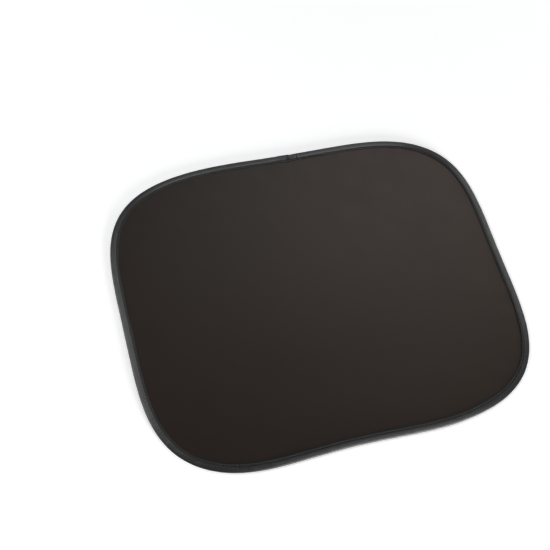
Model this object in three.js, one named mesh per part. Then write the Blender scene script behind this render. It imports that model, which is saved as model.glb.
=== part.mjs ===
// Sunshade for a car's side window: a dark mesh panel and a static-cling film, cut to one
// outline and held open by a sprung loop of steel wire in a folded edge binding.
// Millimetres, +Z up. The shade lies flat, mesh side up and film side down.
// Origin: centre of its box, on the surface it lies on.

import * as THREE from 'three';

// Outline, to the outer edge of the binding
const shadeWidth = 440;
const shadeHeight = 354;
const cornerPower = 3.85; // 2 would be an ellipse, and higher is squarer

// How deep the wire's spring pulls each side in, where along the side that is deepest, and
// how far it reaches either way
const bowDepth = { right: 1.9, top: 2.4, left: 1, bottom: 5.6 };
const bowPlace = { right: 12, top: 28, left: 28, bottom: -28 };
const bowReach = 136;
const bowFade = 4; // even power by which a bow dies away from the side it belongs to

// Spring wire, and the sleeve crimped over its two ends
const wireDiameter = 1.5;
const wireEndGap = 1;
const sleeveLength = 26;
const sleeveWall = 0.25;
const sleeveClearance = 0.1;
const sleevePlace = 0.5; // share of the way round from the start of the tape

// Sheets, and how far they hang below the rim in their middle
const meshThickness = 0.35;
const filmThickness = 0.15;
const layerClearance = 0.1;
const sheetSag = 0.8;
const flatShare = 0.46; // of the sheet inside the binding, in each direction
const sheetToSleeve = 0.4;

// Binding tape, folded over the wire with its two legs on the sheets
const tapeWidth = 18;
const tapeThickness = 0.45;
const tapeClearance = 0.15;
const neckLength = 4.8; // from the top of the wire's bead down to the line of stitches
const neckFullness = 1.5; // 1 would drop evenly, and more holds the neck up until the stitches
const lapLength = 14;
const rampLength = 8;
const spliceBearing = 89.3; // degrees from +X, where the tape starts

// Fineness of the facets
const stepLength = 40;
const stepTurn = THREE.MathUtils.degToRad(6);
const traceSteps = 2880;
const foldSteps = 3;
const neckSteps = 3;
const wireSides = 8;
const sleeveSides = 12;
const sagRings = 3;
const creaseMitre = 0.5; // the crease at the stitches leans half as much as the neck above it
const stopTolerance = 0.01;

// Worked out from the sizes above
const wireRadius = wireDiameter / 2;
const sleeveBore = wireRadius + sleeveClearance;
const sleeveRadius = sleeveBore + sleeveWall;
const foldRadius = sleeveRadius + tapeClearance;
const beadRadius = foldRadius + tapeThickness;
const stackThickness = meshThickness + layerClearance + filmThickness;
const legHeight = stackThickness / 2 + layerClearance;
const sheetEdge = beadRadius + sleeveRadius + sheetToSleeve;

// The tape's path round the rim: inside radius of its fold, and height of its legs' inside
const plainPath = { fold: foldRadius, leg: legHeight };
const underPath = { fold: wireRadius + layerClearance, leg: legHeight };
const overPath = {
  fold: underPath.fold + tapeThickness + layerClearance,
  leg: underPath.leg + tapeThickness + layerClearance,
};

// Share of a side's bow at a distance from its deepest place
function bowShare(distance) {
  return (1 + Math.cos(Math.PI * Math.min(Math.abs(distance) / bowReach, 1))) / 2;
}

// Closed curve of the outer edge, clockwise from above, from the start of the tape. It is a
// rounded rectangle of one power, with bowed sides, stretched to the shade's two sizes.
class RimCurve extends THREE.Curve {
  constructor() {
    super();
    this.arcLengthDivisions = traceSteps;
    const trace = [];
    for (let i = 0; i < traceSteps; i += 1) {
      trace.push(this.rawPoint((2 * Math.PI * i) / traceSteps));
    }
    const box = new THREE.Box2().setFromPoints(trace);
    this.middle = box.getCenter(new THREE.Vector2());
    this.stretch = new THREE.Vector2(shadeWidth, shadeHeight).divide(box.getSize(new THREE.Vector2()));
  }

  rawPoint(angle) {
    const half = new THREE.Vector2(shadeWidth / 2, shadeHeight / 2);
    const across = Math.abs(Math.cos(angle)) / half.x;
    const along = Math.abs(Math.sin(angle)) / half.y;
    const radius = (across ** cornerPower + along ** cornerPower) ** (-1 / cornerPower);
    const { x, y } = new THREE.Vector2(Math.cos(angle), Math.sin(angle)).multiplyScalar(radius);
    const sideways = x > 0
      ? -bowDepth.right * bowShare(y - bowPlace.right)
      : bowDepth.left * bowShare(y - bowPlace.left);
    const upright = y > 0
      ? -bowDepth.top * bowShare(x - bowPlace.top)
      : bowDepth.bottom * bowShare(x - bowPlace.bottom);
    return new THREE.Vector2(
      x + sideways * (x / half.x) ** bowFade,
      y + upright * (y / half.y) ** bowFade,
    );
  }

  getPoint(t, target = new THREE.Vector3()) {
    const angle = THREE.MathUtils.degToRad(spliceBearing) - 2 * Math.PI * t;
    const flat = this.rawPoint(angle).sub(this.middle).multiply(this.stretch);
    return target.set(flat.x, flat.y, 0);
  }
}

const rim = new RimCurve();
const rimLength = rim.getLength();

// Place on the rim, `distance` mm along it, with the direction into the shade
function rimFrame(distance) {
  const share = (((distance % rimLength) + rimLength) % rimLength) / rimLength;
  const travel = rim.getTangentAt(share);
  return { origin: rim.getPointAt(share), inward: travel.cross(new THREE.Vector3(0, 0, 1)) };
}

// Point `inset` mm in from the outer edge and `height` mm above the middle of the rim
function rimPoint(frame, inset, height) {
  return frame.origin.clone().addScaledVector(frame.inward, inset).setZ(height);
}

// Stops round the rim: at every mark, and between marks close enough for the curve
const sleeveMiddle = sleevePlace * rimLength;
const marks = [
  0,
  lapLength,
  lapLength + rampLength / 2,
  lapLength + rampLength,
  sleeveMiddle - sleeveLength / 2,
  sleeveMiddle - wireEndGap / 2,
  sleeveMiddle + wireEndGap / 2,
  sleeveMiddle + sleeveLength / 2,
  rimLength - rampLength,
  rimLength - rampLength / 2,
  rimLength,
];

function stopsBetween(start, end) {
  const turn = rimFrame(start).inward.angleTo(rimFrame(end).inward);
  if (end - start <= stepLength && turn <= stepTurn) {
    return [start];
  }
  const middle = (start + end) / 2;
  return [...stopsBetween(start, middle), ...stopsBetween(middle, end)];
}

const stops = marks.slice(1).flatMap((mark, i) => stopsBetween(marks[i], mark));

// Stops from one distance to another, past the start of the tape if need be
function stopsFrom(start, end) {
  const twice = [...stops, ...stops.map((stop) => stop + rimLength), 2 * rimLength];
  return twice.filter((stop) => stop >= start - stopTolerance && stop <= end + stopTolerance);
}

// Closed body through a row of rings that have as many points each. A closed row joins its
// last ring to its first, and an open one is capped at both ends.
function skin(rings, closed) {
  const count = rings[0].length;
  const faces = [];
  for (let i = 0; i < rings.length - (closed ? 0 : 1); i += 1) {
    const here = i * count;
    const next = ((i + 1) % rings.length) * count;
    for (let j = 0; j < count; j += 1) {
      const side = (j + 1) % count;
      faces.push(here + j, next + j, next + side);
      faces.push(here + j, next + side, here + side);
    }
  }
  if (!closed) {
    const last = (rings.length - 1) * count;
    for (const [a, b, c] of capFaces(rings[0])) {
      faces.push(a, b, c);
    }
    for (const [a, b, c] of capFaces(rings[rings.length - 1])) {
      faces.push(last + a, last + c, last + b);
    }
  }
  const geometry = new THREE.BufferGeometry().setFromPoints(rings.flat());
  geometry.setIndex(faces);
  geometry.computeVertexNormals();
  return geometry;
}

// Triangles over a flat ring, turning the same way as the ring
function capFaces(ring) {
  const normal = new THREE.Vector3();
  ring.forEach((point, i) => {
    normal.add(point.clone().cross(ring[(i + 1) % ring.length]));
  });
  const turn = new THREE.Quaternion().setFromUnitVectors(normal.normalize(), new THREE.Vector3(0, 0, 1));
  const contour = ring.map((point) => {
    const flat = point.clone().applyQuaternion(turn);
    return new THREE.Vector2(flat.x, flat.y);
  });
  return THREE.ShapeUtils.triangulateShape(contour, []);
}

// Round section about the bead's middle line
function roundRing(stop, radius, sides) {
  const frame = rimFrame(stop);
  const ring = [];
  for (let i = 0; i < sides; i += 1) {
    const angle = (2 * Math.PI * i) / sides;
    ring.push(rimPoint(frame, beadRadius + radius * Math.cos(angle), radius * Math.sin(angle)));
  }
  return ring;
}

// Upper half of the folded tape's middle line: round the fold, down the neck to the stitches
// and along the flat lip. Each point holds its place and the direction to the outside.
function tapeHalf(path) {
  const radius = path.fold + tapeThickness / 2;
  const level = path.leg + tapeThickness / 2;
  const line = [];
  for (let i = 0; i <= foldSteps; i += 1) {
    const angle = Math.PI - (Math.PI / 2) * (i / foldSteps);
    const out = new THREE.Vector2(Math.cos(angle), Math.sin(angle));
    line.push({ at: out.clone().multiplyScalar(radius).add(new THREE.Vector2(beadRadius, 0)), out });
  }
  for (let i = 1; i <= neckSteps; i += 1) {
    const share = i / neckSteps;
    const turn = (Math.PI / 2) * share ** neckFullness;
    const drop = radius - level;
    const fall = (Math.PI / 2) * neckFullness * share ** (neckFullness - 1) * Math.sin(turn);
    const steepness = (i < neckSteps ? 1 : creaseMitre) * fall;
    const at = new THREE.Vector2(beadRadius + neckLength * share, level + drop * Math.cos(turn));
    line.push({ at, out: new THREE.Vector2((steepness * drop) / neckLength, 1).normalize() });
  }
  let used = (radius * Math.PI) / 2;
  for (let i = foldSteps + 1; i < line.length; i += 1) {
    used += line[i].at.distanceTo(line[i - 1].at);
  }
  const edge = line[line.length - 1].at.clone();
  edge.x += tapeWidth / 2 - used;
  line.push({ at: edge, out: new THREE.Vector2(0, 1) });
  return line;
}

// Section of the folded tape: outside from the lower leg's edge up to the upper leg's edge,
// and back along the inside
function tapeRing(stop, path) {
  const upper = tapeHalf(path);
  const lower = upper.slice(1).reverse().map(({ at, out }) => ({
    at: new THREE.Vector2(at.x, -at.y),
    out: new THREE.Vector2(out.x, -out.y),
  }));
  const line = [...lower, ...upper];
  const side = (offset) => line.map(({ at, out }) => at.clone().addScaledVector(out, offset));
  const section = [...side(tapeThickness / 2).reverse(), ...side(-tapeThickness / 2)];
  const frame = rimFrame(stop);
  return section.map((point) => rimPoint(frame, point.x, point.y));
}

// Path of the tape at a distance from its start: under its own end, plain round the rim,
// then up a ramp and over its own start
function tapePathAt(distance) {
  const blend = (from, to, share) => ({
    fold: THREE.MathUtils.lerp(from.fold, to.fold, share),
    leg: THREE.MathUtils.lerp(from.leg, to.leg, share),
  });
  if (distance < rimLength / 2) {
    const rise = THREE.MathUtils.smoothstep(distance, lapLength, lapLength + rampLength);
    return blend(underPath, plainPath, rise);
  }
  return blend(plainPath, overPath, THREE.MathUtils.smoothstep(distance, rimLength - rampLength, rimLength));
}

function edgeBinding() {
  return skin(stopsFrom(0, rimLength + lapLength).map((stop) => tapeRing(stop, tapePathAt(stop))), false);
}

function wireFrame() {
  const start = sleeveMiddle + wireEndGap / 2;
  const end = sleeveMiddle - wireEndGap / 2 + rimLength;
  return skin(stopsFrom(start, end).map((stop) => roundRing(stop, wireRadius, wireSides)), false);
}

function wireSleeve() {
  const along = stopsFrom(sleeveMiddle - sleeveLength / 2, sleeveMiddle + sleeveLength / 2);
  const outside = along.map((stop) => roundRing(stop, sleeveRadius, sleeveSides));
  const bore = along.map((stop) => roundRing(stop, sleeveBore, sleeveSides));
  return skin([...outside, ...bore.reverse()], true);
}

// Sheet between two heights at the rim. It runs level under the binding, then sags to a
// flat middle.
function sheet(bottom, top) {
  const legEdge = tapeHalf(underPath).pop().at.x + layerClearance;
  const frames = stops.map(rimFrame);
  const ring = (inset, share, height) => frames.map((frame) => {
    const point = rimPoint(frame, inset, 0).multiplyScalar(share);
    return point.setZ(height);
  });
  const half = (level) => {
    const rings = [];
    for (let i = sagRings; i >= 1; i -= 1) {
      const share = 1 - ((1 - flatShare) * i) / sagRings;
      rings.push(ring(legEdge, share, level - sheetSag * THREE.MathUtils.smoothstep(i / sagRings, 0, 1)));
    }
    return [...rings, ring(legEdge, 1, level), ring(sheetEdge, 1, level)];
  };
  return skin([...half(bottom), ...half(top).reverse()], false);
}

// One colour, roughness and metalness for each material
const blackMesh = { color: 0x2b2826, roughness: 0.6, metalness: 0 };
const smokeFilm = { color: 0x1c1c1e, roughness: 0.15, metalness: 0 };
const blackTape = { color: 0x242425, roughness: 0.75, metalness: 0 };
const springSteel = { color: 0x8b8d90, roughness: 0.35, metalness: 1 };
const crimpSteel = { color: 0xa3a5a8, roughness: 0.45, metalness: 1 };

function piece(name, geometry, finish) {
  const mesh = new THREE.Mesh(geometry, new THREE.MeshStandardMaterial({ ...finish, flatShading: true }));
  mesh.name = name;
  return mesh;
}

const filmBottom = -stackThickness / 2;
const filmTop = filmBottom + filmThickness;
const meshTop = stackThickness / 2;
const meshBottom = meshTop - meshThickness;

const binding = piece('edge_binding', edgeBinding(), blackTape);
binding.geometry.computeBoundingBox();
const extent = binding.geometry.boundingBox;
const centre = extent.getCenter(new THREE.Vector3());

const sunshade = new THREE.Group();
sunshade.position.set(-centre.x, -centre.y, -extent.min.z);
sunshade.add(
  binding,
  piece('mesh_panel', sheet(meshBottom, meshTop), blackMesh),
  piece('cling_film', sheet(filmBottom, filmTop), smokeFilm),
  piece('wire_frame', wireFrame(), springSteel),
  piece('wire_sleeve', wireSleeve(), crimpSteel),
);

export default sunshade;
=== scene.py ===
# %% [markdown]
# A sunshade for a car's side window, dressed for its picture.
# The real thing is a loop of spring wire inside a folded cloth tape, with a dark mesh and a
# static-cling film sewn into the tape all the way round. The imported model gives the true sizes.
# Here the tape, its stitches and the two sheets are made again as fine meshes in the same
# places, and every piece gets the finish that it has on the real object.

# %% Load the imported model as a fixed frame
import math

import bmesh
import bpy
import numpy as np
from mathutils import Euler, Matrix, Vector


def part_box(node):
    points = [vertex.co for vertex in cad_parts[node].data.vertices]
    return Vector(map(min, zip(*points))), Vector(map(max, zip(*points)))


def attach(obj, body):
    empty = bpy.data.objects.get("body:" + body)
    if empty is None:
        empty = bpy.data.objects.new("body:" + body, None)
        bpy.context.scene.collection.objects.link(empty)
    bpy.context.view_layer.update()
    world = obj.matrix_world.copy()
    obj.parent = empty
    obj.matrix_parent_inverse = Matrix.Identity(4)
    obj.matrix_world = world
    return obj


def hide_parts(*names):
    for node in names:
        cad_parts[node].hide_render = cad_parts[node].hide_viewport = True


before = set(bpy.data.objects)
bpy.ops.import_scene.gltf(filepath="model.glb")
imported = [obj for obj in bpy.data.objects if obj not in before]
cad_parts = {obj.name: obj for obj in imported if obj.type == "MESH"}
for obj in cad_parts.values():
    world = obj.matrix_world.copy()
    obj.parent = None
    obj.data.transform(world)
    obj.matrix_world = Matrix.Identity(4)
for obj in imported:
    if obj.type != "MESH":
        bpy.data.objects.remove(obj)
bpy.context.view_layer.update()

MM = 0.001
print("pieces in the frame:", sorted(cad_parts))

# %% [markdown]
# Blender works in metres, so every length below is a number of millimetres times MM.
# Sizes that the frame already knows are read from the boxes of its pieces. That way the fine
# meshes land exactly on the plain ones, without any fitting by eye.

# %% Read the sizes of the rim from the frame
binding_low, binding_high = (Vector(corner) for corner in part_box("edge_binding"))
wire_low, wire_high = (Vector(corner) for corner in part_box("wire_frame"))
mesh_high = Vector(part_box("mesh_panel")[1])

shade_width = binding_high.x - binding_low.x
shade_height = binding_high.y - binding_low.y
middle = np.array([(binding_high.x + binding_low.x) / 2, (binding_high.y + binding_low.y) / 2])
rim_level = (binding_high.z + binding_low.z) / 2
wire_radius = (wire_high.z - wire_low.z) / 2
bead_inset = binding_high.x - wire_high.x + wire_radius
sheet_inset = binding_high.x - mesh_high.x
print("shade", round(shade_width, 4), "by", round(shade_height, 4), "wire inset", round(bead_inset, 5))

# %% [markdown]
# The outline is a rounded rectangle of one power, a superellipse, whose four sides are pulled
# in a little where the wire's spring is weakest. A formula is better than a drawn curve here:
# it is perfectly smooth, and every piece can ask it for any place on the rim.

# %% Outline of the shade
CORNER_POWER = 3.85
BOW_DEPTH = {"right": 1.9 * MM, "top": 2.4 * MM, "left": 1.0 * MM, "bottom": 5.6 * MM}
BOW_PLACE = {"right": 12 * MM, "top": 28 * MM, "left": 28 * MM, "bottom": -28 * MM}
BOW_REACH = 136 * MM
BOW_FADE = 4
SPLICE_BEARING = math.radians(89.3)
TRACE_STEPS = 5760


def bow_share(distance):
    """How much of its bow a side has, at a distance from the middle of that bow."""
    return (1 + np.cos(np.pi * np.minimum(np.abs(distance) / BOW_REACH, 1))) / 2


def raw_outline(angle):
    """Points of the outline before it is centred and stretched to the shade's box."""
    half_x, half_y = shade_width / 2, shade_height / 2
    across, along = np.abs(np.cos(angle)) / half_x, np.abs(np.sin(angle)) / half_y
    radius = (across**CORNER_POWER + along**CORNER_POWER) ** (-1 / CORNER_POWER)
    x, y = radius * np.cos(angle), radius * np.sin(angle)
    right = -BOW_DEPTH["right"] * bow_share(y - BOW_PLACE["right"])
    left = BOW_DEPTH["left"] * bow_share(y - BOW_PLACE["left"])
    top = -BOW_DEPTH["top"] * bow_share(x - BOW_PLACE["top"])
    bottom = BOW_DEPTH["bottom"] * bow_share(x - BOW_PLACE["bottom"])
    x_bow = np.where(x > 0, right, left) * (x / half_x) ** BOW_FADE
    y_bow = np.where(y > 0, top, bottom) * (y / half_y) ** BOW_FADE
    return np.stack([x + x_bow, y + y_bow], axis=1)


trace_angles = SPLICE_BEARING - np.linspace(0, 2 * np.pi, TRACE_STEPS + 1)
trace = raw_outline(trace_angles)
trace_size = trace.max(axis=0) - trace.min(axis=0)
trace = (trace - (trace.max(axis=0) + trace.min(axis=0)) / 2) * [shade_width, shade_height] / trace_size
trace += middle
trace_run = np.concatenate([[0], np.cumsum(np.linalg.norm(np.diff(trace, axis=0), axis=1))])
rim_length = trace_run[-1]
print("length of the rim", round(rim_length, 4), "m")

# %% [markdown]
# The pieces of the rim are all described in the same two numbers: how far along the rim a
# point is, and how far in from its outer edge. The run starts at the join of the tape, at the
# middle of the top side, and goes clockwise. The helpers here turn those numbers into places.

# %% From a run along the rim to a place in the frame
TANGENT_REACH = 2 * MM


def on_trace(run):
    """Point of the traced outline at each run, which starts again after one round."""
    run = np.mod(run, rim_length)
    return np.stack([np.interp(run, trace_run, trace[:, k]) for k in (0, 1)], axis=1)


def rim_place(run):
    """Point on the outer edge and the direction into the shade, for each run."""
    along = on_trace(run + TANGENT_REACH) - on_trace(run - TANGENT_REACH)
    along /= np.linalg.norm(along, axis=1, keepdims=True)
    return on_trace(run), np.stack([along[:, 1], -along[:, 0]], axis=1)


def rim_points(run, inset, height):
    """World points at the runs (rows) and at the insets and heights of a section (columns)."""
    point, inward = rim_place(run)
    flat = point[:, None, :] + inward[:, None, :] * inset[:, :, None]
    return np.concatenate([flat, rim_level + height[:, :, None]], axis=2)


# %% How sharply the rim turns, and a smooth step from 0 to 1
SHARP_CORNER = 85 * MM
TURN_REACH = 6 * MM
CORNER_EASING = 0.7


def corner_share(run):
    """1 where the rim turns sharpest, 0 where it runs straight."""
    _, later = rim_place(run + TURN_REACH)
    _, sooner = rim_place(run - TURN_REACH)
    turn = np.arccos(np.clip((later * sooner).sum(axis=1), -1, 1)) / (2 * TURN_REACH)
    return np.clip(turn * SHARP_CORNER, 0, 1) ** CORNER_EASING


def smooth_step(value, start, end):
    """0 before the start, 1 past the end, and an even S-shaped rise between them."""
    share = np.clip((value - start) / (end - start), 0, 1)
    return share * share * (3 - 2 * share)


# %% A wave that wanders
WAVE_VARIETY = (0.6, 1.6)


def wander(run, wavelength, seed, waves=5):
    """Slow irregular wave between about -1 and 1 that closes on itself round the rim."""
    chance = np.random.RandomState(seed)
    usual = rim_length / wavelength
    counts = np.unique(np.round(usual * chance.uniform(*WAVE_VARIETY, waves)).clip(1))
    round_rim = 2 * np.pi * run / rim_length
    total = sum(np.sin(count * round_rim + chance.uniform(0, 2 * np.pi)) for count in counts)
    return total / math.sqrt(len(counts) * 2)


stations = np.linspace(0, rim_length, 400)
print("sharpest turn of the rim", round(float(corner_share(stations).max()), 2), "of 1")
print("a wave of 30 mm reaches", round(float(wander(stations, 30 * MM, 11).max()), 2))

# %% [markdown]
# Every fine piece is a sweep or a stack of rings, so one helper makes them all. It takes a
# grid of points, joins neighbours with quads, and closes the grid along its rows or columns
# where the real piece closes. The ends of an open sweep are capped, so each piece is a closed
# body. A second map of places in the cloth goes along as UVs, for the weave.

# %% Grid of points to a closed mesh


def face_outwards(mesh):
    """Turns every face so that its front is on the outside of the closed body."""
    shell = bmesh.new()
    shell.from_mesh(mesh)
    bmesh.ops.recalc_face_normals(shell, faces=shell.faces)
    shell.to_mesh(mesh)
    shell.free()


def grid_faces(rows, columns, closed_rows, cap_ends):
    """Quads between neighbours of the grid. Its columns always close into a ring."""
    row = np.arange(rows if closed_rows else rows - 1)[:, None]
    column = np.arange(columns)[None, :]
    here, there = row * columns, (row + 1) % rows * columns
    beside = (column + 1) % columns
    quads = np.stack([here + column, there + column, there + beside, here + beside], axis=2)
    faces = quads.reshape(-1, 4).tolist()
    if cap_ends:
        faces.append(list(range(columns)))
        faces.append(list(range((rows - 1) * columns, rows * columns))[::-1])
    return faces


def write_cloth_map(mesh, cloth_map):
    """Keeps the place in the cloth of every point, as UVs at the corners of the faces."""
    layer = mesh.uv_layers.new(name="cloth_map")
    corners = np.empty(len(mesh.loops), dtype=np.int32)
    mesh.loops.foreach_get("vertex_index", corners)
    layer.uv.foreach_set("vector", cloth_map.reshape(-1, 2)[corners].astype(np.float32).ravel())


def grid_piece(name, grid, closed_rows=False, cap_ends=False, cloth_map=None):
    """A closed body from a grid of points: a row for each station, a column for each point."""
    mesh = bpy.data.meshes.new(name)
    faces = grid_faces(*grid.shape[:2], closed_rows, cap_ends)
    mesh.from_pydata(grid.reshape(-1, 3).tolist(), [], faces)
    if cloth_map is not None:
        write_cloth_map(mesh, cloth_map)
    face_outwards(mesh)
    mesh.shade_smooth()
    piece = bpy.data.objects.new(name, mesh)
    bpy.context.collection.objects.link(piece)
    return piece


def triangles(piece):
    """Number of triangles that the faces of a piece make."""
    return sum(len(face.vertices) - 2 for face in piece.data.polygons)


print("a closed grid of 3 by 4 points has", len(grid_faces(3, 4, True, False)), "quads")

# %% [markdown]
# The binding is one strip of woven tape. It is folded lengthways round the wire, so it has a
# round bead at the outside, a neck that slopes down to the line of stitches, and a short loose
# lip beyond them. It could be a curve with a bevel, but then it could not change along the
# way. As a sweep whose section is worked out anew at every step, it can pucker in the corners,
# dip at each stitch and run up over its own start, as the sewn tape does.

# %% Sizes of the binding tape
TAPE_WIDTH = 18 * MM
TAPE_THICKNESS = 0.45 * MM
CLEARANCE = 0.1 * MM
NECK_LENGTH = 4.8 * MM
NECK_FULLNESS = 1.5
LAP_LENGTH = 9.5 * MM
RAMP_LENGTH = 8 * MM
STITCH_PITCH = 3.4 * MM
STACK_THICKNESS = 0.6 * MM

leg_height = STACK_THICKNESS / 2 + CLEARANCE
plain_fold = 1.25 * MM
under_fold = wire_radius + CLEARANCE
over_fold = under_fold + TAPE_THICKNESS + CLEARANCE
over_leg = leg_height + TAPE_THICKNESS + CLEARANCE
crease_inset = bead_inset + NECK_LENGTH
stitch_count = round(rim_length / STITCH_PITCH)
stitch_pitch = rim_length / stitch_count
print("stitches round the rim", stitch_count, "crease at", round(crease_inset / MM, 2), "mm")

# %% Path of the tape, under its own end and over its own start


def tape_path(run):
    """Inside radius of the fold and height of the legs, for each run from the tape's start."""
    rise = smooth_step(run, LAP_LENGTH, LAP_LENGTH + RAMP_LENGTH)
    fold = under_fold + (plain_fold - under_fold) * rise
    climb = smooth_step(run, rim_length - RAMP_LENGTH, rim_length)
    fold = np.where(run > rim_length / 2, plain_fold + (over_fold - plain_fold) * climb, fold)
    leg = np.where(run > rim_length / 2, leg_height + (over_leg - leg_height) * climb, leg_height)
    return fold, leg


def stitch_phase(run):
    """0 at a needle hole, up to 1 at the next."""
    return np.mod(run / stitch_pitch, 1)


fold_at_join, leg_at_join = tape_path(np.array([0, rim_length]))
print("at the join the fold's radius goes from", (fold_at_join / MM).round(2), "mm")
print("and the leg's height from", (leg_at_join / MM).round(2), "mm")

# %% [markdown]
# One side of the folded tape is drawn as a chain of points from the outermost edge, over the
# bead, down the neck, through the groove that the thread pulls, and out along the lip. What
# the sewing does to the cloth is added as small heights: dips at the needle holes, pillows
# between them, gathers in the corners where the inner edge is too long for its curve, and
# creases after the join, where the tape was pulled tight to finish.

# %% One side of the folded tape
FOLD_ANGLES = np.radians([180, 158, 136, 114, 92])
NECK_SHARES = np.array([0.16, 0.34, 0.54, 0.74, 0.9])
CREASE_SHARES = np.array([1.0, 1.08])
LIP_SHARES = np.array([0.36, 1.0])
LIP_RISE = np.array([0.6, 1.0])
GATHER_HEIGHT = 0.42 * MM
GATHER_PITCH = 4.6 * MM
LIP_LIFT = 0.3 * MM
LIP_SLANT = 0.26 * MM
WRINKLE_HEIGHT = 0.45 * MM
WRINKLE_REACH = 52 * MM
WRINKLE_LENGTH = 6.5 * MM
END_LIFT = 0.75 * MM
END_LIFT_REACH = 6 * MM
PIT_DEPTH = 0.9 * MM
PIT_REACH = 13 * MM
LEAST_RISE = 0.04 * MM


def gathers(run, side):
    """Height of the gathers in the corners, all upward, for one side of the tape."""
    wave = 2 * np.pi * run / GATHER_PITCH + 1.6 * wander(run, 30 * MM, 11 + side)
    puffed = np.maximum(np.sin(wave), -0.4) + 0.4
    varied = 0.7 + 0.3 * wander(run, 22 * MM, 12 + side)
    return GATHER_HEIGHT * corner_share(run) * puffed * varied


def wrinkles(run, side):
    """Height of the creases in the tape after the join."""
    past = run - LAP_LENGTH
    fade = 1 - smooth_step(past, WRINKLE_REACH * 0.5, WRINKLE_REACH)
    near = smooth_step(past, 0, 4 * MM) * fade
    wave = wander(run, WRINKLE_LENGTH, 31 + side, waves=7)
    return WRINKLE_HEIGHT * np.where(run < rim_length / 2, near, 0) * np.maximum(wave + 0.5, 0)


def join_heights(run, side):
    """Lift of the loose cut end, and depth of the pit where the tape dives under it."""
    loose = END_LIFT if side == 0 else 0
    tape_end = rim_length + LAP_LENGTH
    lift = loose * smooth_step(run, tape_end - END_LIFT_REACH, tape_end)
    past = run - LAP_LENGTH
    climb_out = 1 - smooth_step(past, 1 * MM, PIT_REACH)
    pit = PIT_DEPTH * smooth_step(past, -1 * MM, 0.6 * MM) * climb_out
    return lift[:, None], pit[:, None]


print("gathers rise up to", round(float(gathers(stations, 0).max()) / MM, 2), "mm")
print("wrinkles rise up to", round(float(wrinkles(stations, 0).max()) / MM, 2), "mm")

# %% Chain of points down one side
SLACK_HEIGHT = 0.06 * MM
PILLOW_HEIGHT = 0.1 * MM
HOLE_REACH = 0.13
GROOVE_DEPTH_IN_MM = 0.02
HOLE_DEPTH_IN_MM = 0.06
GROOVE_SHARES = np.array([1, 0.8])
GATHER_ON_NECK = 0.35
GATHER_AT_SEAM = 0.25
GATHER_IN_GROOVE = 0.1
SEAM_IN_TAPE = 7.35 * MM
LIP_VARIETY = 0.18 * MM


def neck_part(run, level, drop, gather, lift, pit):
    """Heights down the neck: a full fall from the bead, gathered, pillowed, sunk at the join."""
    pillow = (PILLOW_HEIGHT * np.sin(np.pi * stitch_phase(run)) ** 2)[:, None]
    fall = level + drop * np.cos(np.pi / 2 * NECK_SHARES**NECK_FULLNESS)
    height = fall + (GATHER_ON_NECK * gather + pillow) * np.sin(np.pi * NECK_SHARES) ** 2
    height = height + GATHER_AT_SEAM * gather * NECK_SHARES + lift * NECK_SHARES
    lowest = level + LEAST_RISE * (1 + NECK_SHARES)
    return np.where(pit > 0, np.maximum(height - pit * NECK_SHARES**0.5, lowest), height)


def groove_part(run, level, gather, lift):
    """Heights across the groove of the seam, which is deepest at the needle holes."""
    to_hole = np.minimum(stitch_phase(run), 1 - stitch_phase(run))
    hole = np.exp(-((to_hole / HOLE_REACH) ** 2))[:, None]
    depth = (GROOVE_DEPTH_IN_MM + HOLE_DEPTH_IN_MM * hole) * MM
    return level - depth * GROOVE_SHARES + GATHER_IN_GROOVE * gather + lift


def lip_part(run, side, level, gather, lift):
    """Widths and heights of the loose lip, which tips up more toward one side of the shade."""
    width = TAPE_WIDTH / 2 - SEAM_IN_TAPE + LIP_VARIETY * wander(run, 70 * MM, 4 + side)
    _, inward = rim_place(run)
    tip = LIP_LIFT * (0.75 + 0.4 * wander(run, 38 * MM, 6 + side)) - LIP_SLANT * inward[:, 0]
    height = level + tip[:, None] * LIP_RISE + gather * LIP_SHARES + lift * (1 + LIP_SHARES)
    return width[:, None] * LIP_SHARES, height


def tape_side(run, side):
    """Middle line of one side (0 top, 1 underside): insets and heights, for each run."""
    fold, leg = tape_path(run)
    slack = SLACK_HEIGHT * wander(run, 45 * MM, 1) + SLACK_HEIGHT / 2 * wander(run, 12 * MM, 2)
    radius = (fold + TAPE_THICKNESS / 2 + np.maximum(slack, -0.02 * MM))[:, None]
    level = (leg + TAPE_THICKNESS / 2)[:, None]
    gather = (gathers(run, side) + wrinkles(run, side))[:, None]
    lift, pit = join_heights(run, side)
    fold_x, fold_z = bead_inset + radius * np.cos(FOLD_ANGLES), radius * np.sin(FOLD_ANGLES)
    seam_x = bead_inset + NECK_LENGTH * np.concatenate([NECK_SHARES, CREASE_SHARES]) + 0 * radius
    neck_z = neck_part(run, level, radius - level, gather, lift, pit)
    groove_z = groove_part(run, level, gather, lift)
    lip_x, lip_z = lip_part(run, side, level, gather, lift)
    inset = np.concatenate([fold_x, seam_x, seam_x[:, -1:] + lip_x], axis=1)
    height = np.concatenate([fold_z, neck_z, groove_z, lip_z], axis=1)
    return inset, height


print("points down one side of the tape:", tape_side(stations, 0)[0].shape[1])

# %% [markdown]
# The two sides are joined at the outermost edge into one line across the tape, and that line
# is given the tape's thickness on either side. The woven edge of the lip is rounded by one
# more point. Each ring also notes how much cloth lies between it and the fold, so that the
# weave keeps its true size.

# %% Closed section of the tape
INNER_POINTS = np.array([13, 10, 7, 4, 2])
CREASE_POINT = 10
PRESSED = 0.45
SELVEDGE_ROUNDNESS = 0.3


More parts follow.
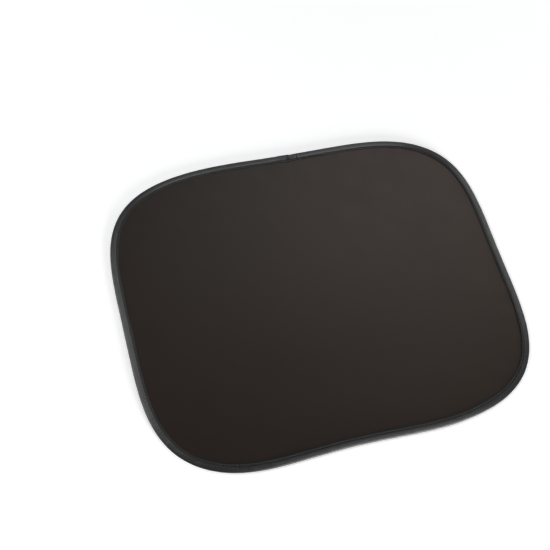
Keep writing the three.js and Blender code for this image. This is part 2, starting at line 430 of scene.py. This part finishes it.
def tape_section(run):
    """Insets, heights and cloth widths of the closed section, for each run."""
    (top_x, top_z), (under_x, under_z) = tape_side(run, 0), tape_side(run, 1)
    line_x = np.concatenate([under_x[:, :0:-1], top_x], axis=1)
    line_z = np.concatenate([-under_z[:, :0:-1], top_z], axis=1)
    along_x, along_z = np.gradient(line_x, axis=1), np.gradient(line_z, axis=1)
    size = np.hypot(along_x, along_z)
    along_x, along_z = along_x / size, along_z / size
    used = np.cumsum(np.hypot(np.diff(line_x), np.diff(line_z)), axis=1)
    used = np.concatenate([0 * used[:, :1], used], axis=1)
    outermost = line_x.shape[1] // 2
    used = used - used[:, [outermost]]
    inner = outermost + np.concatenate([INNER_POINTS, [0], -INNER_POINTS[::-1]])
    half, tip = TAPE_THICKNESS / 2, TAPE_THICKNESS * SELVEDGE_ROUNDNESS
    pressed = np.full(line_x.shape[1], half)
    pressed[[outermost - CREASE_POINT, outermost + CREASE_POINT]] *= 1 - PRESSED
    outer_x, outer_z = line_x - along_z * pressed, line_z + along_x * pressed
    inner_x = line_x[:, inner] + along_z[:, inner] * half
    inner_z = line_z[:, inner] - along_x[:, inner] * half
    top_x, top_z = line_x[:, -1:] + along_x[:, -1:] * tip, line_z[:, -1:] + along_z[:, -1:] * tip
    under_x, under_z = line_x[:, :1] - along_x[:, :1] * tip, line_z[:, :1] - along_z[:, :1] * tip
    inset = np.concatenate([outer_x, top_x, inner_x, under_x], axis=1)
    height = np.concatenate([outer_z, top_z, inner_z, under_z], axis=1)
    width = np.concatenate([used, used[:, -1:], used[:, inner], used[:, :1]], axis=1)
    return inset, height, width


# %% Sweep the tape round the rim
TAPE_STEPS = 2480

tape_run = np.linspace(0, rim_length + LAP_LENGTH, TAPE_STEPS)
section_x, section_z, section_used = tape_section(tape_run)
cloth = np.stack([np.broadcast_to(tape_run[:, None], section_used.shape), section_used], axis=2)
tape_grid = rim_points(tape_run, section_x, section_z)
binding = grid_piece("binding_tape", tape_grid, cap_ends=True, cloth_map=cloth)
print("binding tape:", triangles(binding), "triangles,", section_x.shape[1], "points round its section")

# %% [markdown]
# A lockstitch seam holds the layers together. On the top and on the underside it shows as a
# row of short thread ends to end, each one coming up through a hole and going down through the
# next. One thin tube follows that path. It lies in the groove of the crease, and it slants a
# little from hole to hole, as the two threads of a lockstitch pull each other.

# %% Sewing thread on the top and on the underside
THREAD_RADIUS = 0.17 * MM
THREAD_SIDES = 6
THREAD_STEPS_PER_STITCH = 8
THREAD_SLANT = 0.16 * MM
THREAD_BURIED = 0.5 * MM
THREAD_PROUD = 0.75 * THREAD_RADIUS
ARCH_POWER = 5


def thread_piece(name, side):
    """A tube that comes up at one hole of the seam and goes down at the next, all the way round."""
    count = stitch_count * THREAD_STEPS_PER_STITCH
    run = np.arange(count) * rim_length / count
    inset, height = tape_side(run, side)
    phase = stitch_phase(run)
    arch = 1 - np.abs(2 * phase - 1) ** ARCH_POWER
    surface = height[:, CREASE_POINT] + TAPE_THICKNESS / 2 * (1 - PRESSED)
    centre = surface - THREAD_BURIED + (THREAD_BURIED + THREAD_PROUD) * arch
    across = inset[:, CREASE_POINT] + THREAD_SLANT * (phase - 0.5)
    turn = 2 * np.pi * np.arange(THREAD_SIDES) / THREAD_SIDES
    ring_x = across[:, None] + THREAD_RADIUS * np.cos(turn)
    ring_z = centre[:, None] + THREAD_RADIUS * np.sin(turn)
    grid = rim_points(run, ring_x, ring_z if side == 0 else -ring_z)
    place = np.stack(np.broadcast_arrays(run[:, None], turn * THREAD_RADIUS), axis=2)
    return grid_piece(name, grid, closed_rows=True, cloth_map=place)


thread_top = thread_piece("stitch_thread_top", 0)
thread_under = thread_piece("stitch_thread_under", 1)
print("sewing thread:", triangles(thread_top), "and", triangles(thread_under), "triangles")

# %% [markdown]
# The tape was cut with scissors, so a few threads of the weave have come loose at its end. Each
# is a thin bent tube that starts inside the cloth and reaches past the cut. Seeded random
# numbers place them, so that they lie the same way in every run.

# %% Loose threads at the cut end
FRAY_COUNT = 16
FRAY_RADIUS = 0.045 * MM
FRAY_SIDES = 5
FRAY_STEPS = 7
FRAY_ROOT = 0.5 * MM
FRAY_MAP_LENGTH = 2 * MM

fray_chance = np.random.RandomState(77)
fray_turn = 2 * np.pi * np.arange(FRAY_SIDES) / FRAY_SIDES


def fray_line(tape_end):
    """Middle line of one loose thread, from inside the cloth to past the cut."""
    reach = fray_chance.uniform(0.5, 2.0) * MM
    shares = np.linspace(0, 1, FRAY_STEPS)
    way = tape_end - FRAY_ROOT + (reach + FRAY_ROOT) * shares
    inset, height = tape_side(np.minimum(way, tape_end), 0)
    column = fray_chance.randint(3, 13)
    sway = fray_chance.uniform(-0.7, 0.7) * MM * shares**2
    droop = fray_chance.uniform(-0.5, 0.25) * MM * shares**2
    across, level = inset[:, column] + sway, height[:, column] + droop
    return rim_points(way, across[:, None], level[:, None])


def fray_piece(number):
    """One loose thread: a tube with five sides that tapers to its tip."""
    radius = FRAY_RADIUS * (1 - 0.5 * np.linspace(0, 1, FRAY_STEPS))[:, None]
    ring_y, ring_z = radius * np.cos(fray_turn), radius * np.sin(fray_turn)
    ring = np.stack([0 * ring_y, ring_y, ring_z], axis=2)
    length = np.linspace(0, FRAY_MAP_LENGTH, FRAY_STEPS)[:, None]
    place = np.stack(np.broadcast_arrays(length, fray_turn * FRAY_RADIUS), axis=2)
    grid = fray_line(rim_length + LAP_LENGTH) + ring
    return grid_piece("fray_%d" % number, grid, cap_ends=True, cloth_map=place)


frays = [fray_piece(number) for number in range(FRAY_COUNT)]
with bpy.context.temp_override(active_object=frays[0], selected_editable_objects=frays):
    bpy.ops.object.join()
loose_threads = frays[0]
loose_threads.name = "loose_threads"
print("loose threads:", triangles(loose_threads), "triangles")

# %% [markdown]
# The mesh and the film are two sheets, cut to one outline and sewn in together. Each is made as
# a stack of rings that shrink from the seam to the middle, once for its top and once for its
# underside. The sheets are stretched by the spring but not perfectly: they sag a little, and
# the seam pulls faint ripples into them that die away within a few centimetres.

# %% Sizes of the two sheets
SHEET_RINGS = 46
SHEET_STATIONS = 900
OUTER_RINGS = [1, 0.99]
INNER_RINGS = (0.975, 0.02)
FLAT_SHARE = 0.46
RIPPLE_HEIGHT = 0.12 * MM
RIPPLE_LENGTH = 34 * MM
RIPPLE_REACH = 30 * MM
RIPPLE_START = 6 * MM
MESH_THICKNESS = 0.35 * MM
FILM_THICKNESS = 0.15 * MM
SHEET_SAG = 0.8 * MM


def sheet_height(run, inset, share):
    """How far a sheet lies above its level at the seam, at each ring (row) and station."""
    dish = -SHEET_SAG * smooth_step(1 - share, 0, 1 - FLAT_SHARE)
    fade = np.exp(-inset / RIPPLE_REACH) * (1 - np.exp(-inset / RIPPLE_START))
    ripple = RIPPLE_HEIGHT * wander(run, RIPPLE_LENGTH, 51)[None, :] * fade
    return dish + ripple


def sheet_piece(name, bottom, top):
    """A closed sheet between two heights: rings over its top, then back over its underside."""
    run = np.linspace(0, rim_length, SHEET_STATIONS, endpoint=False)
    point, inward = rim_place(run)
    edge = point + inward * sheet_inset
    share = np.concatenate([OUTER_RINGS, np.linspace(*INNER_RINGS, SHEET_RINGS - 2)])[:, None]
    flat = middle + (edge - middle)[None, :, :] * share[:, :, None]
    inset = (1 - share) * np.linalg.norm(edge - middle, axis=1)[None, :]
    lift = sheet_height(run, inset, share)
    upper = np.concatenate([flat, (rim_level + top + lift)[:, :, None]], axis=2)
    lower = np.concatenate([flat, (rim_level + bottom + lift)[:, :, None]], axis=2)
    return grid_piece(name, np.concatenate([upper[::-1], lower]), cap_ends=True)


mesh_top = STACK_THICKNESS / 2
mesh_bottom = mesh_top - MESH_THICKNESS
film_bottom = -STACK_THICKNESS / 2
film_top = film_bottom + FILM_THICKNESS
shade_mesh = sheet_piece("shade_mesh", mesh_bottom, mesh_top)
static_film = sheet_piece("static_film", film_bottom, film_top)
print("sheets:", triangles(shade_mesh), "and", triangles(static_film), "triangles")

# %% [markdown]
# Now the finishes. Each one is a small node tree on one Principled shader: numbers that are the
# same all over go straight onto the shader, and nodes only make what changes from place to
# place. This first helper makes the tree, and the next ones add the patterns.

# %% Start of a finish


def finish_of(name, colour, roughness, metallic=0.0, specular=0.5):
    """A new material with one Principled shader, and that shader."""
    material = bpy.data.materials.new(name)
    material.use_nodes = True
    shader = material.node_tree.nodes["Principled BSDF"]
    shader.inputs["Base Color"].default_value = (*colour, 1)
    shader.inputs["Roughness"].default_value = roughness
    shader.inputs["Metallic"].default_value = metallic
    shader.inputs["Specular IOR Level"].default_value = specular
    return material, shader


def feed(material, value, socket):
    """A number goes on the socket, and an output of another node is linked to it."""
    if isinstance(value, bpy.types.NodeSocket):
        material.node_tree.links.new(value, socket)
    else:
        socket.default_value = value


def calc(material, operation, *values):
    """One Math node: its inputs are numbers or outputs of other nodes."""
    node = material.node_tree.nodes.new("ShaderNodeMath")
    node.operation = operation
    for value, socket in zip(values, node.inputs):
        feed(material, value, socket)
    return node.outputs["Value"]


def spread(material, value, start, end, low=0.0, high=1.0):
    """Maps a value from one range to another, and holds it there."""
    node = material.node_tree.nodes.new("ShaderNodeMapRange")
    names = ("Value", "From Min", "From Max", "To Min", "To Max")
    for name, number in zip(names, (value, start, end, low, high)):
        feed(material, number, node.inputs[name])
    return node.outputs["Result"]


def tint(material, shader, share, dark, light):
    """Colours the shader from dark, where the share is 0, to light, where it is 1."""
    node = material.node_tree.nodes.new("ShaderNodeMix")
    node.data_type = "RGBA"
    feed(material, share, node.inputs[0])
    node.inputs[6].default_value = (*dark, 1)
    node.inputs[7].default_value = (*light, 1)
    feed(material, node.outputs[2], shader.inputs["Base Color"])


def relief(material, shader, height, depth):
    """Fine relief: a height from 0 to 1 that stands for a real depth in metres."""
    node = material.node_tree.nodes.new("ShaderNodeBump")
    node.inputs["Distance"].default_value = depth
    node.inputs["Strength"].default_value = 1
    feed(material, height, node.inputs["Height"])
    feed(material, node.outputs["Normal"], shader.inputs["Normal"])


def cloth_place(material):
    """Metres along and across the cloth, from the map that came with the mesh."""
    source = material.node_tree.nodes.new("ShaderNodeUVMap")
    source.uv_map = "cloth_map"
    parts = material.node_tree.nodes.new("ShaderNodeSeparateXYZ")
    feed(material, source.outputs["UV"], parts.inputs[0])
    return parts.outputs["X"], parts.outputs["Y"]


def object_place(material):
    """Metres along and across the shade, from its own middle."""
    source = material.node_tree.nodes.new("ShaderNodeTexCoord")
    parts = material.node_tree.nodes.new("ShaderNodeSeparateXYZ")
    feed(material, source.outputs["Object"], parts.inputs[0])
    return parts.outputs["X"], parts.outputs["Y"]


def blotches(material, size, detail=3.0):
    """Soft irregular noise of a size, from about 0 to 1."""
    source = material.node_tree.nodes.new("ShaderNodeTexCoord")
    noise = material.node_tree.nodes.new("ShaderNodeTexNoise")
    noise.inputs["Scale"].default_value = 1 / size
    noise.inputs["Detail"].default_value = detail
    feed(material, source.outputs["Object"], noise.inputs["Vector"])
    return noise.outputs["Fac"]


def uneven(material, size, low, high, reach=(0.3, 0.7)):
    """Blotches of a size, spread from a low value to a high one."""
    return spread(material, blotches(material, size), *reach, low, high)


def wear(piece, material):
    """Gives a piece one finish and takes off any other."""
    piece.data.materials.clear()
    piece.data.materials.append(material)


# %% [markdown]
# The binding is a woven ribbon. Most of its shine comes from the threads that run along it: a
# thread mirrors a lamp only where it lies square to it, so the straight sides shine and the
# corners go dark. The Anisotropic number of the shader does this, with a tangent from the map
# of the cloth. A fine bump adds the two families of threads, which show from close by.

# %% Plain weave


def hump(material, place):
    """Round hump from 0 up to 1 and back, once in every whole step of a place."""
    step = calc(material, "FRACT", place)
    return calc(material, "SINE", calc(material, "MULTIPLY", step, math.pi))


def plain_weave(material, along, across, pitch, turned, crown):
    """Height of two families of round threads that pass over and under each other."""
    cos, sin = math.cos(turned) / pitch, math.sin(turned) / pitch
    along_cos, along_sin = (calc(material, "MULTIPLY", along, part) for part in (cos, sin))
    across_cos, across_sin = (calc(material, "MULTIPLY", across, part) for part in (cos, sin))
    first = calc(material, "ADD", along_cos, across_sin)
    second = calc(material, "SUBTRACT", across_cos, along_sin)
    cells = calc(material, "ADD", calc(material, "FLOOR", first), calc(material, "FLOOR", second))
    odd = calc(material, "FRACT", calc(material, "MULTIPLY", cells, 0.5))
    on_top = calc(material, "MULTIPLY", odd, 2.0)
    humps = [hump(material, place) for place in (first, second)]
    threads = []
    for width, length in (humps, humps[::-1]):
        lift = calc(material, "MULTIPLY_ADD", length, crown, 1 - crown)
        threads.append(calc(material, "MULTIPLY", width, lift))
    change = calc(material, "SUBTRACT", threads[1], threads[0])
    return calc(material, "MULTIPLY_ADD", on_top, change, threads[0])


# %% Finish of the tape
WEAVE_PITCH = 0.5 * MM
WEAVE_DEPTH = 0.03 * MM
WEAVE_TURN = math.radians(45)
WEAVE_CROWN = 0.05
SEAM_IN_CLOTH = 7.4 * MM
LIP_ROUGHER = 0.5

tape_finish, tape_shader = finish_of("black woven tape", (0.012, 0.012, 0.0125), 0.5, specular=1.0)
tape_map = cloth_place(tape_finish)
tape_weave = plain_weave(tape_finish, *tape_map, WEAVE_PITCH, WEAVE_TURN, WEAVE_CROWN)
relief(tape_finish, tape_shader, tape_weave, WEAVE_DEPTH)
tape_shader.inputs["Anisotropic"].default_value = 0.85
tape_shader.inputs["Anisotropic Rotation"].default_value = 0.25
ribbon_way = tape_finish.node_tree.nodes.new("ShaderNodeTangent")
ribbon_way.direction_type = "UV_MAP"
ribbon_way.uv_map = "cloth_map"
feed(tape_finish, ribbon_way.outputs["Tangent"], tape_shader.inputs["Tangent"])

off_fold = calc(tape_finish, "ABSOLUTE", tape_map[1])
lip_share = spread(tape_finish, off_fold, SEAM_IN_CLOTH - 0.9 * MM, SEAM_IN_CLOTH + 0.1 * MM)
worn = uneven(tape_finish, 9 * MM, 0.46, 0.56)
tape_roughness = calc(tape_finish, "MULTIPLY_ADD", lip_share, LIP_ROUGHER, worn)
feed(tape_finish, calc(tape_finish, "MINIMUM", tape_roughness, 1.0), tape_shader.inputs["Roughness"])
# Painted shade: the tape's colour goes dark in the gaps between the threads of the weave, and all over
# the lip past the seam.
off_lip = calc(tape_finish, "SUBTRACT", 1.0, lip_share)
weave_and_lip_painted_shade = calc(tape_finish, "MULTIPLY", tape_weave, off_lip)
tint(tape_finish, tape_shader, weave_and_lip_painted_shade, (0.002, 0.002, 0.0021), (0.009, 0.009, 0.0095))
wear(binding, tape_finish)
print("weave of the tape:", round(WEAVE_PITCH / MM, 2), "mm from thread to thread")

# %% [markdown]
# The sewing thread is polyester, three yarns twisted together. Slanted ridges round the tube
# show the twist. Its map gives the way along the thread and the way round it, both in metres.

# %% Finish of the sewing thread
THREAD_TWIST = 0.75 * MM
THREAD_YARNS = 3
YARN_DEPTH = 0.05 * MM

thread_finish, thread_shader = finish_of("black sewing thread", (0.008, 0.008, 0.009), 0.45, specular=0.3)
thread_along, thread_round = cloth_place(thread_finish)
yarn_width = 2 * math.pi * THREAD_RADIUS / THREAD_YARNS
thread_turn = calc(thread_finish, "DIVIDE", thread_round, yarn_width)
thread_way = calc(thread_finish, "MULTIPLY_ADD", thread_along, 1 / THREAD_TWIST, thread_turn)
ply_relief_and_shade = hump(thread_finish, thread_way)
relief(thread_finish, thread_shader, ply_relief_and_shade, YARN_DEPTH)
# Painted shade: the thread's colour goes dark in the grooves between its twisted yarns.
tint(thread_finish, thread_shader, ply_relief_and_shade, (0.003, 0.003, 0.0035), (0.011, 0.011, 0.012))
for piece in (thread_top, thread_under, loose_threads):
    wear(piece, thread_finish)
print("each yarn of the thread is", round(yarn_width / MM, 2), "mm wide")

# %% [markdown]
# The mesh is a fine warp knit of dark yarn with a warm tint. From close by it is a grid of
# small holes between the yarns, and from further off an even, faintly shiny sheet. The holes
# are too small to be cut as shapes, so the pattern makes them lower than the yarns, and darker,
# partly as the dark film seen through them and partly as painted shade. Broad, weak noise keeps
# the large sheet from looking like plastic.

# %% Finish of the mesh
MESH_PITCH = 0.7 * MM
MESH_DEPTH = 0.035 * MM

mesh_finish, mesh_shader = finish_of("dark shade mesh", (0.012, 0.008, 0.0055), 0.39, specular=0.5)
mesh_shader.inputs["Specular Tint"].default_value = (1.0, 0.88, 0.8, 1)
yarns = []
for place in object_place(mesh_finish):
    steps = calc(mesh_finish, "MULTIPLY", place, 1 / MESH_PITCH)
    yarns.append(hump(mesh_finish, steps))
mesh_yarn = calc(mesh_finish, "MAXIMUM", *yarns)
relief(mesh_finish, mesh_shader, mesh_yarn, MESH_DEPTH)
hole_shade_and_tone = calc(mesh_finish, "MULTIPLY", mesh_yarn, uneven(mesh_finish, 55 * MM, 0.86, 1.0))
# Darker at the holes: partly the dark film seen through them, partly painted shade. The broad blotches
# are the yarn's own uneven tone.
tint(mesh_finish, mesh_shader, hole_shade_and_tone, (0.0055, 0.0032, 0.0018), (0.0118, 0.0072, 0.0044))
feed(mesh_finish, uneven(mesh_finish, 24 * MM, 0.37, 0.41), mesh_shader.inputs["Roughness"])
wear(shade_mesh, mesh_finish)
print("holes of the mesh:", round(shade_width / MESH_PITCH), "by", round(shade_height / MESH_PITCH))

# %% [markdown]
# The film under the mesh is smooth tinted plastic that clings to glass by itself. It is glossy,
# with the slow waves of a thin sheet, and its gloss is a little uneven, as film is that has been
# handled and folded away.

# %% Finish of the film
FILM_WAVES = 0.12 * MM

film_finish, film_shader = finish_of("smoke static film", (0.010, 0.010, 0.011), 0.12, specular=0.5)
feed(film_finish, uneven(film_finish, 40 * MM, 0.08, 0.2), film_shader.inputs["Roughness"])
film_tone = uneven(film_finish, 90 * MM, 0.0, 1.0)
tint(film_finish, film_shader, film_tone, (0.009, 0.009, 0.010), (0.013, 0.013, 0.0145))
relief(film_finish, film_shader, blotches(film_finish, 16 * MM, detail=1.0), FILM_WAVES)
wear(static_film, film_finish)
print("the film's waves are", round(FILM_WAVES / MM, 2), "mm deep")

# %% [markdown]
# The wire and its crimp sleeve stay hidden inside the tape. They keep the plain shapes of the
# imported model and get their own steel: the wire is tempered and faintly brown in places, with
# fine drawing marks, and the sleeve is brighter zinc plate, pressed out of true.

# %% Finish of the two steel pieces
CRIMP_DENTS = 0.1 * MM
STEEL_REACH = (0.35, 0.65)


def steel(name, colour, roughness, tones, tone_size, grain_size, polish):
    """Bare metal whose colour changes slowly and whose polish changes finely."""
    material, shader = finish_of(name, colour, roughness, metallic=1.0)
    tone = uneven(material, tone_size, 0.0, 1.0, STEEL_REACH)
    tint(material, shader, tone, *tones)
    feed(material, uneven(material, grain_size, *polish), shader.inputs["Roughness"])
    return material, shader


spring_tones = ((0.47, 0.46, 0.45), (0.57, 0.58, 0.59))
spring_finish, _ = steel(
    "tempered spring steel", (0.55, 0.56, 0.57), 0.3, spring_tones, 12 * MM, 0.8 * MM, (0.22, 0.4)
)
wear(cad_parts["wire_frame"], spring_finish)

crimp_tones = ((0.54, 0.55, 0.57), (0.66, 0.67, 0.69))
crimp_finish, crimp_shader = steel(
    "zinc plated crimp", (0.62, 0.63, 0.65), 0.4, crimp_tones, 3 * MM, 1.2 * MM, (0.3, 0.5)
)
relief(crimp_finish, crimp_shader, blotches(crimp_finish, 2 * MM), CRIMP_DENTS)
wear(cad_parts["wire_sleeve"], crimp_finish)
print("the wire wears", spring_finish.name, "and the sleeve", crimp_finish.name)

# %% [markdown]
# Each fine piece now hangs from the body that carries it, and the plain piece of the imported
# model that it takes the place of is hidden. The shade has no joints, so there is only one body.
# Threads replace nothing: they are extra detail on the tape.

# %% Hang each piece on its body and hide the plain pieces it replaces
for piece, node, slot in (
    (binding, "edge_binding", "binding_tape"),
    (shade_mesh, "mesh_panel", "shade_mesh"),
    (static_film, "cling_film", "cling_film"),
):
    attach(piece, "root")
    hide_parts(node)
for piece in (thread_top, thread_under, loose_threads):
    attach(piece, "root")
print("the tape, the two sheets and three runs of thread ride on the root body")

# %% [markdown]
# The mesh and the film are flat sheets of cloth and film, held stretched by the frame. Their
# flat size is printed here.

# %% Flat sizes of the two sheets


def flat_area(piece):
    """Area of one side of a sheet: half of its skin."""
    return sum(face.area for face in piece.data.polygons) / 2


for piece in (shade_mesh, static_film):
    flat = (shade_width - 2 * sheet_inset, shade_height - 2 * sheet_inset)
    cut = [round(side, 4) for side in flat]
    print(piece.name, "is cut from", cut, "area", round(flat_area(piece), 4))

# %% [markdown]
# The set is a plain product studio: a pale floor, a white backdrop all round and a dim ceiling.
# The floor shows as white to the camera and in mirrors, and still takes the object's shadow,
# because only a part of its brightness is its own glow. More light on the floor would make it
# white too, but it would wash out the dark mesh.

# %% Floor
FLOOR_DROP = 0.2 * MM
FLOOR_SIZE = 6
FLOOR_GLOW = 0.42

bpy.ops.mesh.primitive_plane_add(size=FLOOR_SIZE, location=(0, 0, binding_low.z - FLOOR_DROP))
floor = bpy.context.object
floor.name = "floor"
floor_finish, floor_shader = finish_of("pale floor", (0.8, 0.8, 0.8), 0.9, specular=0.0)
ray = floor_finish.node_tree.nodes.new("ShaderNodeLightPath")
seen = calc(floor_finish, "MAXIMUM", ray.outputs["Is Camera Ray"], ray.outputs["Is Glossy Ray"])
seen = calc(floor_finish, "MAXIMUM", seen, ray.outputs["Is Transmission Ray"])
floor_shader.inputs["Emission Color"].default_value = (1, 1, 1, 1)
glow = calc(floor_finish, "MULTIPLY", seen, FLOOR_GLOW)
feed(floor_finish, glow, floor_shader.inputs["Emission Strength"])
wear(floor, floor_finish)
print("the floor lies", round(FLOOR_DROP / MM, 2), "mm under the tape")

# %% Backdrop and ceiling
CEILING_LEVEL = 0.06
BACKDROP_TOP = 0.16

world = bpy.data.worlds.new("studio")
bpy.context.scene.world = world
world.use_nodes = True
direction = world.node_tree.nodes.new("ShaderNodeTexCoord")
direction_parts = world.node_tree.nodes.new("ShaderNodeSeparateXYZ")
feed(world, direction.outputs["Generated"], direction_parts.inputs[0])
background = world.node_tree.nodes["Background"]
background.inputs["Color"].default_value = (1, 1, 1, 1)
level = spread(world, direction_parts.outputs["Z"], 0.0, BACKDROP_TOP, 1.0, CEILING_LEVEL)
feed(world, level, background.inputs["Strength"])
print("the backdrop fades to the ceiling at", round(math.degrees(math.asin(BACKDROP_TOP)), 1), "degrees")

# %% [markdown]
# Five soft lamps light the shade from the same distance. The ribbon of the binding shines only
# where a lamp lies square to its threads, so three low lamps, at the left, the front and the
# right, brighten the straight sides and leave the corners dark. Two higher ones, a wide warm
# window and a weak cool light behind it, give the mesh its sheen. A picture of a real studio
# could light the scene too, but lamps can be changed one by one until the colours are right.

# %% Soft lamps
LAMP_DISTANCE = 1.6
LAMPS = (
    # Name, heading from +X and rise above the floor in degrees, side in metres, watts, colour.
    ("left_light", 164, 40, 0.4, 11.5, (1, 1, 1)),
    ("front_light", 291, 12, 0.4, 30, (1, 1, 1)),
    ("right_light", 20, 16, 0.4, 4.5, (1, 1, 1)),
    ("window_light", 38, 50, 0.8, 3.1, (1.0, 0.97, 0.95)),
    ("back_light", 70, 56, 0.6, 1.7, (0.75, 0.85, 1.0)),
)


def lamp_place(heading, rise):
    """Place of a lamp by its heading and its rise, at the distance of them all."""
    heading, rise = math.radians(heading), math.radians(rise)
    flat = LAMP_DISTANCE * math.cos(rise)
    height = LAMP_DISTANCE * math.sin(rise)
    return Vector((flat * math.cos(heading), flat * math.sin(heading), height))


def soft_lamp(name, heading, rise, side, watts, colour):
    """A square lamp that faces the middle of the shade."""
    data = bpy.data.lights.new(name, "AREA")
    data.shape = "RECTANGLE"
    data.size = data.size_y = side
    data.energy = watts
    data.color = colour
    lamp = bpy.data.objects.new(name, data)
    bpy.context.collection.objects.link(lamp)
    lamp.location = lamp_place(heading, rise)
    lamp.rotation_euler = (-lamp.location).to_track_quat("-Z", "Y").to_euler()


for lamp_row in LAMPS:
    soft_lamp(*lamp_row)
print(len(LAMPS), "lamps give", sum(row[4] for row in LAMPS), "watts")

# %% [markdown]
# The camera looks down from the front left and is rolled about its own line of sight, which
# makes the shade lie at a slant in the picture. Its place was found by fitting the outline of
# the shade. With a long lens the far side looks nearly as large as the near one, as it does in
# the picture. The Standard view shows the colours as they are written.

# %% Camera
CAMERA_SENSOR = 36
CAMERA_LENS = 57.17
CAMERA_ROLL = math.radians(19.02)
CAMERA_EYE = Vector((-0.2673, -0.3079, 0.8770))
CAMERA_TARGET = Vector((-0.0456, 0.0303, 0.0021))

camera_data = bpy.data.cameras.new("camera")
camera_data.sensor_width = CAMERA_SENSOR
camera_data.lens = CAMERA_LENS
camera = bpy.data.objects.new("camera", camera_data)
bpy.context.collection.objects.link(camera)
line_of_sight = CAMERA_TARGET - CAMERA_EYE
roll = Euler((0, 0, CAMERA_ROLL)).to_quaternion()
camera.location = CAMERA_EYE
camera.rotation_euler = (line_of_sight.to_track_quat("-Z", "Y") @ roll).to_euler()
bpy.context.scene.camera = camera
bpy.context.scene.view_settings.view_transform = "Standard"
print("the camera stands", round(line_of_sight.length, 3), "m from its target")
